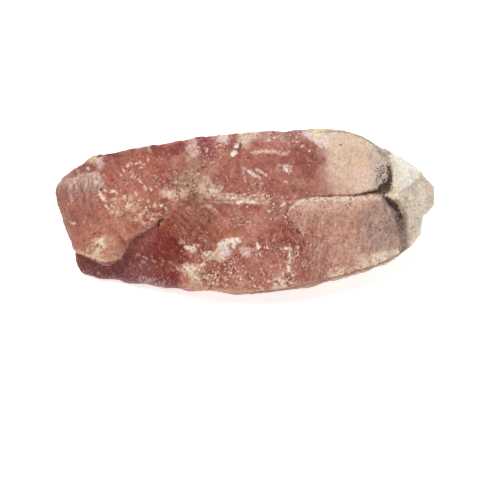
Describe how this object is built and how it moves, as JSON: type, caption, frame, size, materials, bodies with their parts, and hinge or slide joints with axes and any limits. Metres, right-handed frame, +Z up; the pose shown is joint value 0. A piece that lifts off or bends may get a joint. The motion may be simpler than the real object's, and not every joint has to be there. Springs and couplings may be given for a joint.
{
  "type": "raw calcite lump",
  "caption": "Long broken lump of raw red calcite with a stepped seam across its broad face, an overhanging blunt end and a pale cap on the other; it lies on a flat cleavage face.",
  "frame": {"origin": "centre of the lump's bounding box, on the flat face that it rests on", "axes": "+X along the lump from the blunt end to the pale tip; +Z up, square to the resting face; the broad face leans back from level towards -Y"},
  "size_m": [0.091, 0.0364, 0.026],
  "materials": {
    "red_calcite": "broken waxy calcite: brick red with cream, peach and white patches, a thin dark seam and a creamy pale cap"
  },
  "bodies": {
    "root": {"raw_calcite": "red_calcite"}
  },
  "joints": []
}
